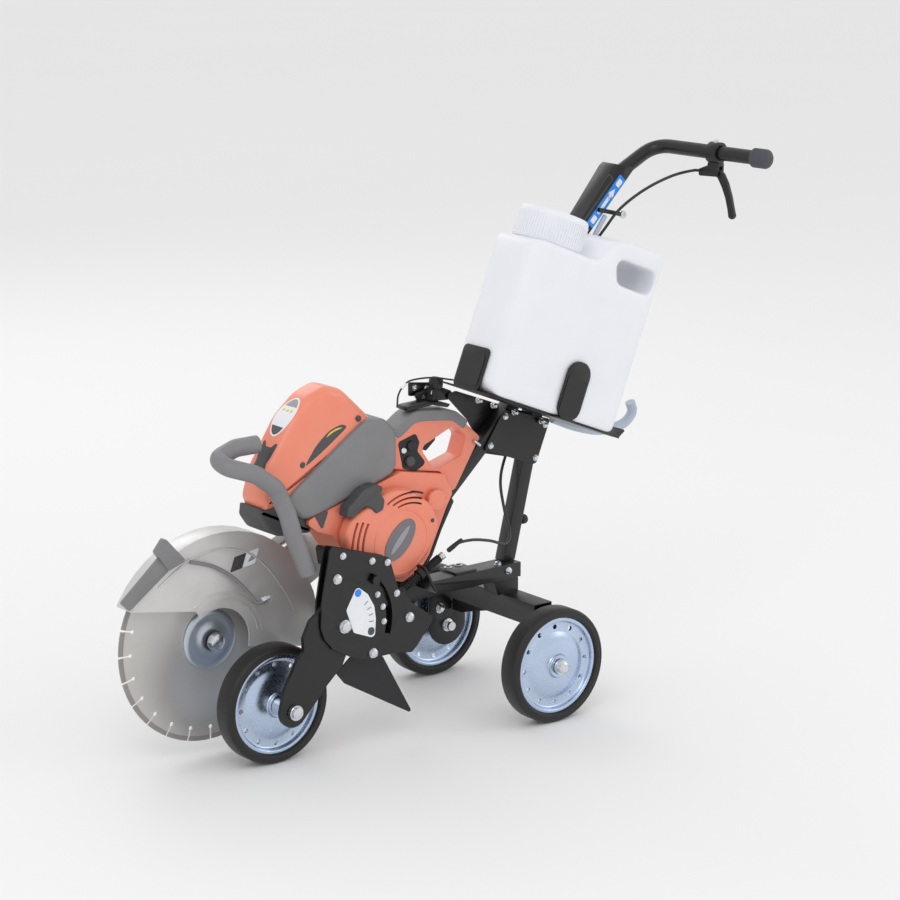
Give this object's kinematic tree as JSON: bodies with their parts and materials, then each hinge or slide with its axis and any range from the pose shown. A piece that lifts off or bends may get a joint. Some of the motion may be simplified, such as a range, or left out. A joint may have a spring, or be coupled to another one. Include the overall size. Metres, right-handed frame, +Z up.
{
  "type": "walk-behind concrete saw",
  "caption": "Hand-held cut-off saw with a slotted disc blade, clamped on a wheeled push cart with a water tank, a hinged depth wheel, and a lever lock.",
  "frame": {"origin": "middle of the footprint box, on the floor", "axes": "+X back to the operator, +Y to the right of the machine, +Z up"},
  "size_m": [1.1566, 0.4702, 0.9737],
  "materials": {
    "painted_frame": "satin black powder coat",
    "orange_cover": "orange moulded cover",
    "grey_moulding": "grey moulded plastic",
    "cast_alloy": "cast and shot-blasted",
    "machined_steel": "ground steel",
    "zinc_plate": "bright zinc plate",
    "rubber": "moulded rubber",
    "tyre_rubber": "solid rubber tread",
    "black_plastic": "black moulded plastic",
    "tank_plastic": "white blow-moulded polyethylene"
  },
  "bodies": {
    "cart": {"air_filter_base": "grey_moulding", "axle_frame": "painted_frame", "belt_cover": "grey_moulding", "chassis_beam": "painted_frame", "clamp_plate": "painted_frame", "clamp_shoe": "painted_frame", "drive_arm": "cast_alloy", "drive_belt": "rubber", "engine_case": "cast_alloy", "floor_flap": "rubber", "front_handle": "grey_moulding", "front_saddle": "painted_frame", "gusset_left": "painted_frame", "gusset_right": "painted_frame", "handle_bar": "painted_frame", "handle_column": "painted_frame", "handle_plug": "rubber", "lever_clamp": "black_plastic", "lock_cable": "rubber", "main_tube": "painted_frame", "mast": "painted_frame", "pivot_bolt": "zinc_plate", "plunger_body": "zinc_plate", "plunger_spring": "machined_steel", "rear_handle": "orange_cover", "rear_left_axle": "zinc_plate", "rear_right_axle": "zinc_plate", "side_bolt_low": "zinc_plate", "side_bolt_top": "zinc_plate", "side_plate_left": "painted_frame", "side_plate_right": "painted_frame", "starter_cover": "orange_cover", "tank": "tank_plastic", "tank_band": "grey_moulding", "top_cover": "orange_cover", "tray": "painted_frame", "water_hose": "rubber"},
    "depth_arm": {"depth_arm": "painted_frame", "front_axle": "zinc_plate"},
    "front_wheel": {"front_rim": "zinc_plate", "front_tyre": "tyre_rubber"},
    "rear_left_wheel": {"rear_left_rim": "zinc_plate", "rear_left_tyre": "tyre_rubber"},
    "rear_right_wheel": {"rear_right_rim": "zinc_plate", "rear_right_tyre": "tyre_rubber"},
    "blade_spindle": {"blade": "machined_steel", "flange_inner": "machined_steel", "flange_outer": "zinc_plate", "arbor": "machined_steel", "blade_pulley": "machined_steel"},
    "clutch": {"clutch_pulley": "machined_steel"},
    "guard": {"blade_guard": "cast_alloy", "water_nozzle": "grey_moulding"},
    "lock_lever": {"lock_lever": "cast_alloy"},
    "lock_plunger": {"lock_plunger": "zinc_plate"},
    "throttle_trigger": {"throttle_trigger": "black_plastic"},
    "starter_grip": {"starter_grip": "black_plastic"},
    "tank_cap": {"tank_cap": "tank_plastic"},
    "fuel_cap": {"fuel_cap": "black_plastic"},
    "clamp_knob": {"clamp_knob": "black_plastic"}
  },
  "joints": [
    {"name": "depth_swing", "type": "hinge", "parent": "cart", "child": "depth_arm", "pos_m": [-0.2272, -0.05622, 0.2305], "axis": [0, 1, 0], "range_deg": [0, 50]},
    {"name": "front_wheel_spin", "type": "hinge", "parent": "depth_arm", "child": "front_wheel", "pos_m": [-0.3278, 0.00178, 0.1015], "axis": [0, 1, 0], "continuous": true},
    {"name": "rear_left_wheel_spin", "type": "hinge", "parent": "cart", "child": "rear_left_wheel", "pos_m": [0.1712, -0.12822, 0.1015], "axis": [0, 1, 0], "continuous": true},
    {"name": "rear_right_wheel_spin", "type": "hinge", "parent": "cart", "child": "rear_right_wheel", "pos_m": [0.1712, 0.20778, 0.1015], "axis": [0, 1, 0], "continuous": true},
    {"name": "blade_spin", "type": "hinge", "parent": "cart", "child": "blade_spindle", "pos_m": [-0.3858, 0.10178, 0.2], "axis": [0, 1, 0], "continuous": true},
    {"name": "clutch_spin", "type": "hinge", "parent": "cart", "child": "clutch", "pos_m": [-0.0718, 0.13878, 0.342], "axis": [0, 1, 0], "continuous": true},
    {"name": "guard_turn", "type": "hinge", "parent": "cart", "child": "guard", "pos_m": [-0.3858, 0.10178, 0.2], "axis": [0, 1, 0], "range_deg": [-25, 0]},
    {"name": "lever_pull", "type": "hinge", "parent": "cart", "child": "lock_lever", "pos_m": [0.54394, -0.12235, 0.9218], "axis": [-0.9859, -0.1671, 0], "range_deg": [0, 30]},
    {"name": "plunger_slide", "type": "slide", "parent": "cart", "child": "lock_plunger", "axis": [0.8942, 0, 0.4478], "range_m": [0, 0.01], "stiffness_N_per_m": 400, "springref_m": -0.004},
    {"name": "trigger_squeeze", "type": "hinge", "parent": "cart", "child": "throttle_trigger", "pos_m": [-0.0028, 0.01778, 0.498], "axis": [0, -1, 0], "range_deg": [0, 8], "stiffness_Nm_per_rad": 0.06, "springref_deg": -17.19},
    {"name": "starter_pull", "type": "slide", "parent": "cart", "child": "starter_grip", "axis": [0, -0.8, 0.6], "range_m": [0, 0.15], "stiffness_N_per_m": 30, "springref_m": -0.02},
    {"name": "tank_cap_lift", "type": "slide", "parent": "cart", "child": "tank_cap", "axis": [0.3746, 0, 0.9272], "range_m": [0, 0.08]},
    {"name": "fuel_cap_turn", "type": "hinge", "parent": "cart", "child": "fuel_cap", "pos_m": [0.0022, -0.01822, 0.4], "axis": [0, -1, 0], "range_deg": [0, 120]},
    {"name": "clamp_knob_turn", "type": "hinge", "parent": "cart", "child": "clamp_knob", "pos_m": [0.0242, 0.01578, 0.5635], "axis": [0.1961, 0, 0.9806], "continuous": true}
  ],
  "couplings": [
    {"joint": "clutch_spin", "follows": "blade_spin", "ratio": 1.75},
    {"joint": "lever_pull", "follows": "plunger_slide", "rad_per_m": 52.36}
  ]
}
